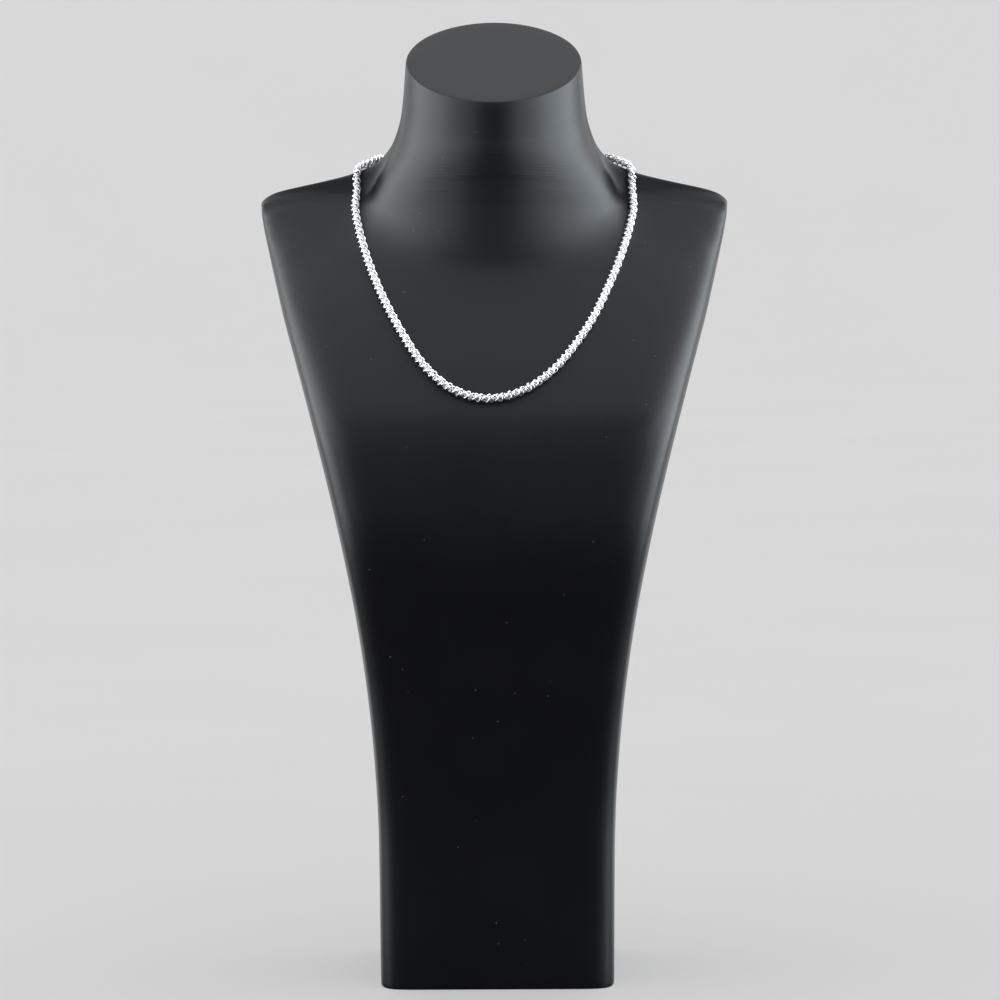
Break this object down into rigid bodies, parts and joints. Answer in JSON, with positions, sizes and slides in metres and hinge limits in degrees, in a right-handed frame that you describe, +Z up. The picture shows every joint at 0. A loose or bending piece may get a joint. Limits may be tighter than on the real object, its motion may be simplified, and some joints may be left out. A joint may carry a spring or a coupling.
{
  "type": "rope chain necklace on neck bust",
  "caption": "Silver rope chain of interlocked twisted links, hung as a closed loop round a tall black neck bust with a slanted flat neck top.",
  "frame": {"origin": "on the ground, under the middle of the bust's base", "axes": "+Z up; the bust faces -Y; +X is the wearer's left"},
  "size_m": [0.2422, 0.1929, 0.4908],
  "materials": {
    "bust_black": "satin",
    "chain_silver": "polished",
    "clasp_silver": "polished"
  },
  "bodies": {
    "root": {"bust": "bust_black", "rope_chain": "chain_silver", "clasp": "clasp_silver"}
  },
  "joints": []
}
